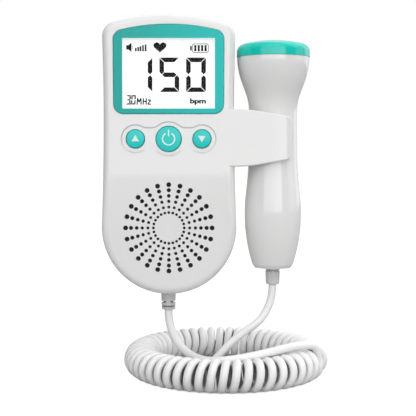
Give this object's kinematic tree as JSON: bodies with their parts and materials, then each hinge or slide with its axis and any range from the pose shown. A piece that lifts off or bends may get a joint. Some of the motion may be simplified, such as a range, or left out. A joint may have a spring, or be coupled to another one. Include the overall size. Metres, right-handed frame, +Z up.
{
  "type": "fetal doppler monitor",
  "caption": "Hand-held heart-rate monitor with a display, buttons and a speaker grille, a probe clipped in side arms and a curly cord.",
  "frame": {"origin": "on the flat back of the main unit, at the housing's mid-height and centre line", "axes": "+X from the housing towards the probe, +Y out of the back (the display faces -Y), +Z up along the housing"},
  "size_m": [0.1094, 0.1062, 0.1738],
  "materials": {
    "housing_white": "gloss",
    "bezel_teal": "gloss",
    "button_teal": "satin",
    "clear_lens": "clear",
    "lcd_white": "gloss",
    "light_guide": "satin",
    "frame_white": "matte",
    "board_green": "satin",
    "chip_black": "matte",
    "steel": "zinc plated",
    "nickel": "nickel plated",
    "basket_grey": "satin",
    "cone_black": "matte",
    "cloth_black": "fine mesh",
    "battery_sleeve": "gloss sleeve",
    "ceramic": "matte ceramic",
    "epoxy_grey": "matte",
    "relief_grey": "satin",
    "cord_white": "satin jacket"
  },
  "bodies": {
    "main_unit": {"front_shell": "housing_white", "rear_shell": "housing_white", "case_screws": "steel", "display_bezel": "bezel_teal", "display_lens": "clear_lens", "lcd_panel": "lcd_white", "backlight_plate": "light_guide", "lcd_frame": "frame_white", "main_board": "board_green", "board_screws": "steel", "board_chips": "chip_black", "tact_switches": "chip_black", "speaker_cloth": "cloth_black", "speaker_basket": "basket_grey", "speaker_magnet": "steel", "speaker_cone": "cone_black", "battery_left": "battery_sleeve", "battery_right": "battery_sleeve", "battery_contacts": "nickel", "battery_springs": "nickel", "earphone_jack": "chip_black", "unit_strain_relief": "relief_grey", "cord_unit_lead": "cord_white", "cord_coil": "cord_white", "cord_probe_lead": "cord_white"},
    "probe": {"probe_front_shell": "housing_white", "probe_rear_shell": "housing_white", "probe_head_cap": "button_teal", "piezo_crystals": "ceramic", "crystal_backing": "epoxy_grey", "probe_board": "board_green", "probe_strain_relief": "relief_grey"},
    "power_button": {"power_button": "button_teal"},
    "volume_up_button": {"volume_up_button": "button_teal"},
    "volume_down_button": {"volume_down_button": "button_teal"},
    "battery_door": {"battery_door": "housing_white"}
  },
  "joints": [
    {"name": "probe_pull", "type": "slide", "parent": "main_unit", "child": "probe", "axis": [1, 0, 0], "range_m": [0, 0.022]},
    {"name": "power_button_press", "type": "slide", "parent": "main_unit", "child": "power_button", "axis": [0, 1, 0], "range_m": [0, 0.0006], "stiffness_N_per_m": 200},
    {"name": "volume_up_press", "type": "slide", "parent": "main_unit", "child": "volume_up_button", "axis": [0, 1, 0], "range_m": [0, 0.0006], "stiffness_N_per_m": 200},
    {"name": "volume_down_press", "type": "slide", "parent": "main_unit", "child": "volume_down_button", "axis": [0, 1, 0], "range_m": [0, 0.0006], "stiffness_N_per_m": 200},
    {"name": "battery_door_hinge", "type": "hinge", "parent": "main_unit", "child": "battery_door", "pos_m": [0, 0, -0.0053], "axis": [1, 0, 0], "range_deg": [0, 70]}
  ]
}
